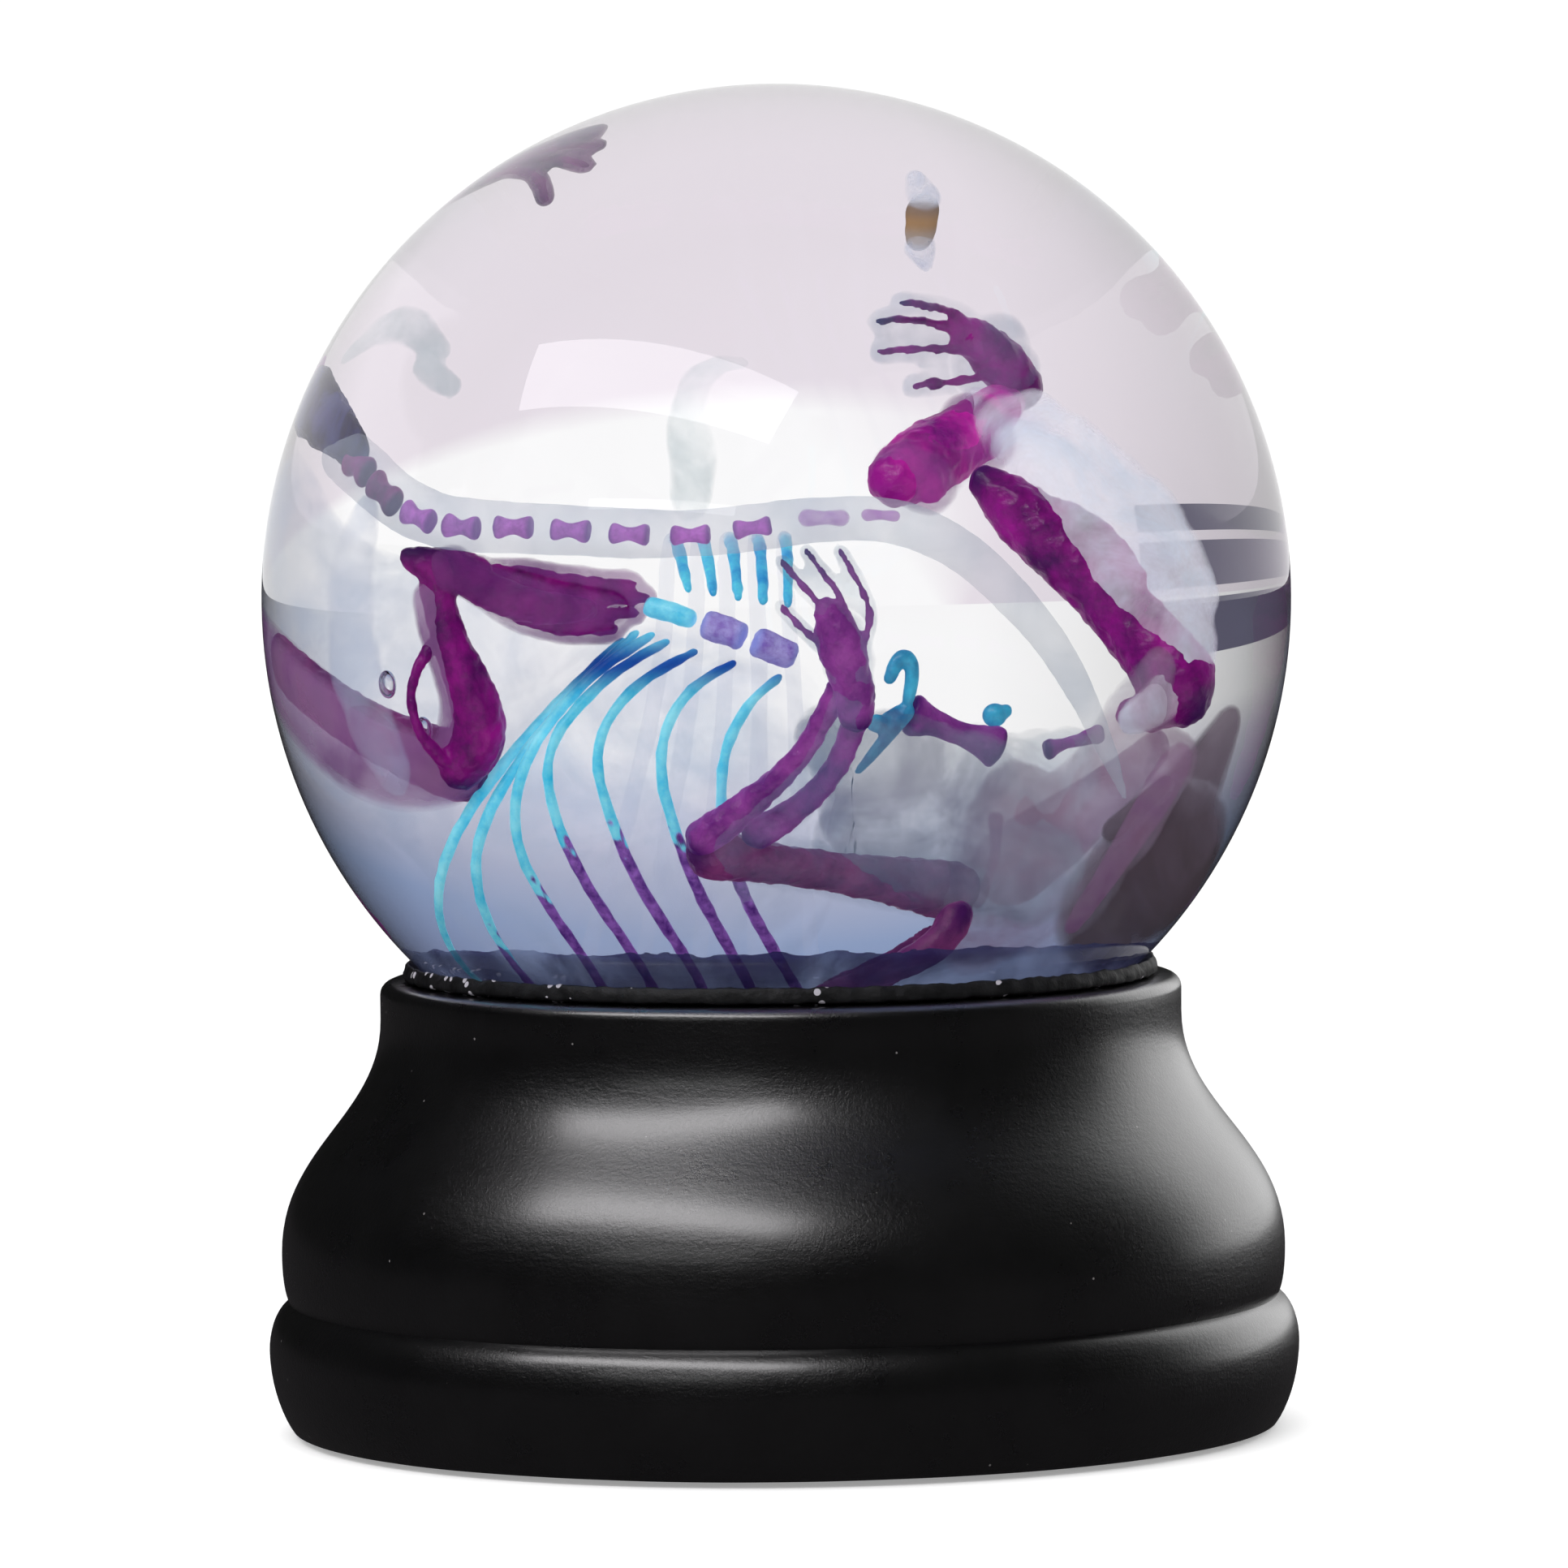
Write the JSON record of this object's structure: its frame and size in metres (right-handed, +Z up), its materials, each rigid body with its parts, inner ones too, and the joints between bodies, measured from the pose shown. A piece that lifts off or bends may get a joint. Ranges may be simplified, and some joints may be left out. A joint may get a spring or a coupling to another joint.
{
  "type": "snow globe",
  "caption": "Liquid-filled glass globe holding a cleared and stained rodent specimen, push-fitted in a turned black base with a felt foot.",
  "frame": {"origin": "on the floor, at the middle of the felt pad's underside", "axes": "+Z up along the globe's axis, -Y towards the front, +X to the right seen from the front"},
  "size_m": [0.1004, 0.1004, 0.1309],
  "materials": {
    "black_paint": "satin",
    "fibreboard": "matte",
    "felt": "matte",
    "seal_rubber": "matte",
    "stopper_rubber": "matte",
    "glass": "gloss",
    "glycerin": "gloss",
    "bone": "satin",
    "cartilage": "satin",
    "tissue": "satin"
  },
  "bodies": {
    "base": {"base_body": "black_paint", "well_floor": "fibreboard", "bottom_cover": "fibreboard", "felt_pad": "felt", "sealing_bead": "seal_rubber"},
    "globe": {"glass_globe": "glass", "glycerin_fill": "glycerin", "stopper": "stopper_rubber"},
    "plug": {"bleed_plug": "stopper_rubber"},
    "specimen": {"caudal_01": "bone", "caudal_02": "bone", "caudal_03": "bone", "caudal_04": "bone", "caudal_05": "bone", "caudal_06": "bone", "caudal_07": "bone", "caudal_08": "bone", "caudal_09": "bone", "cervical_spine": "bone", "clavicle_left": "bone", "clavicle_right": "bone", "femur_left": "bone", "femur_right": "bone", "forearm_right": "bone", "forepaw_left": "bone", "forepaw_right": "bone", "hind_paw_left": "bone", "hind_paw_right": "bone", "humerus_left": "bone", "humerus_right": "bone", "lower_jaw": "bone", "lumbar_spine": "bone", "manubrium": "bone", "pelvis_left": "bone", "pelvis_right": "bone", "radius_left": "bone", "rib_left_1": "cartilage", "rib_left_2": "cartilage", "rib_left_3": "cartilage", "rib_left_4": "cartilage", "rib_left_5": "cartilage", "rib_left_6": "cartilage", "rib_left_7": "cartilage", "rib_right_1": "cartilage", "rib_right_2": "cartilage", "rib_right_3": "cartilage", "rib_right_4": "cartilage", "rib_right_5": "cartilage", "sacrum": "bone", "scapula_left": "bone", "scapula_right": "bone", "skull": "bone", "sternebra_1": "bone", "sternebra_2": "bone", "thoracic_spine": "bone", "tibia_left": "bone", "tibia_right": "bone", "ulna_left": "bone", "xiphoid": "cartilage"},
    "chip": {"drifting_chip": "tissue"}
  },
  "joints": [
    {"name": "globe_lift", "type": "slide", "parent": "base", "child": "globe", "axis": [0, 0, 1], "range_m": [0, 0.03]},
    {"name": "specimen_turn", "type": "hinge", "parent": "globe", "child": "specimen", "pos_m": [0, 0, 0.081], "axis": [0, 0, 1], "range_deg": [-12, 12]},
    {"name": "plug_pull", "type": "slide", "parent": "globe", "child": "plug", "axis": [0, 0, -1], "range_m": [0, 0.01]},
    {"name": "chip_drift", "type": "slide", "parent": "globe", "child": "chip", "axis": [0, 0, 1], "range_m": [-0.001, 0.008]}
  ]
}
